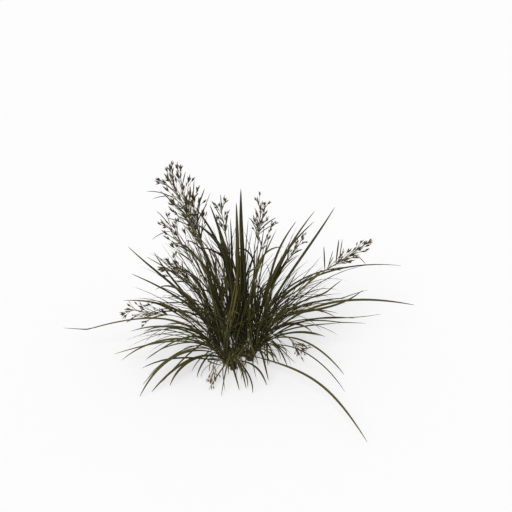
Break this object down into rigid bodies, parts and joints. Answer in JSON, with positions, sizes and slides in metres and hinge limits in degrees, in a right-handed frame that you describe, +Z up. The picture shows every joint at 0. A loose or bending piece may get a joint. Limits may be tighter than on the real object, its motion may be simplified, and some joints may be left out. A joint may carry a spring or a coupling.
{
  "type": "panic grass clump",
  "caption": "Dense tuft of narrow arching grass leaves with open airy flower heads, standing on its flat-cut crown.",
  "frame": {"origin": "centre of the middle lobe's flat cut underside, on the surface that the clump stands on", "axes": "+Z up, +X to the right and +Y to the back as the picture shows the clump"},
  "size_m": [0.4223, 0.2992, 0.2294],
  "materials": {
    "leaf": "satin",
    "flower_stem": "satin",
    "flower_head": "matte",
    "crown": "matte"
  },
  "bodies": {
    "root": {"crown": "crown", "leaf_shoot_middle_0": "leaf", "leaf_shoot_middle_1": "leaf", "leaf_shoot_middle_2": "leaf", "leaf_shoot_middle_3": "leaf", "leaf_shoot_middle_4": "leaf", "leaf_shoot_middle_5": "leaf", "leaf_shoot_middle_6": "leaf", "leaf_shoot_front_0": "leaf", "leaf_shoot_front_1": "leaf", "leaf_shoot_front_2": "leaf", "leaf_shoot_front_3": "leaf", "leaf_shoot_front_4": "leaf", "leaf_shoot_left_0": "leaf", "leaf_shoot_left_1": "leaf", "leaf_shoot_left_2": "leaf", "leaf_shoot_left_3": "leaf", "leaf_shoot_left_4": "leaf", "leaf_shoot_left_5": "leaf", "leaf_shoot_right_0": "leaf", "leaf_shoot_right_1": "leaf", "leaf_shoot_right_2": "leaf", "leaf_shoot_right_3": "leaf", "leaf_shoot_right_4": "leaf", "leaf_shoot_rear_left_0": "leaf", "leaf_shoot_rear_left_1": "leaf", "leaf_shoot_rear_left_2": "leaf", "leaf_shoot_rear_left_3": "leaf", "leaf_shoot_rear_left_4": "leaf", "leaf_shoot_rear_right_0": "leaf", "leaf_shoot_rear_right_1": "leaf", "leaf_shoot_rear_right_2": "leaf", "leaf_shoot_rear_right_3": "leaf", "leaf_shoot_rear_right_4": "leaf", "flower_stem_1": "flower_stem", "flower_head_1": "flower_head", "flower_stem_2": "flower_stem", "flower_head_2": "flower_head", "flower_stem_3": "flower_stem", "flower_head_3": "flower_head", "flower_stem_4": "flower_stem", "flower_head_4": "flower_head", "flower_stem_5": "flower_stem", "flower_head_5": "flower_head", "flower_stem_6": "flower_stem", "flower_head_6": "flower_head", "flower_stem_7": "flower_stem", "flower_head_7": "flower_head", "flower_stem_8": "flower_stem", "flower_head_8": "flower_head", "flower_stem_9": "flower_stem", "flower_head_9": "flower_head", "flower_stem_10": "flower_stem", "flower_head_10": "flower_head", "flower_stem_11": "flower_stem", "flower_head_11": "flower_head", "flower_stem_12": "flower_stem", "flower_head_12": "flower_head", "flower_stem_13": "flower_stem", "flower_head_13": "flower_head"}
  },
  "joints": []
}
